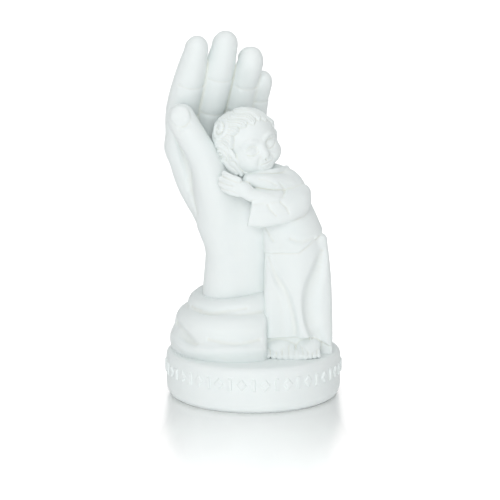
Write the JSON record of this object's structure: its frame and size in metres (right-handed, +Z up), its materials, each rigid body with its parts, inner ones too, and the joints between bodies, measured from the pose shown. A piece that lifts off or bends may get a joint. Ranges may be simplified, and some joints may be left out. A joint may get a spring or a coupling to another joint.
{
  "type": "hand figurine",
  "caption": "Cast white figurine of a large cupped hand rising from drapery, with a small robed child resting in its palm, on a round plinth with a raised geometric border.",
  "frame": {"origin": "centre of the round plinth's flat underside", "axes": "+Z up, -Y towards the side that the child's robe and the thumb face, +X to the right as one looks at that side"},
  "size_m": [0.0982, 0.0982, 0.2007],
  "materials": {
    "cast_resin": "matt, slightly cool white cast resin with a bisque look"
  },
  "bodies": {
    "root": {"hand_figurine": "cast_resin"}
  },
  "joints": []
}
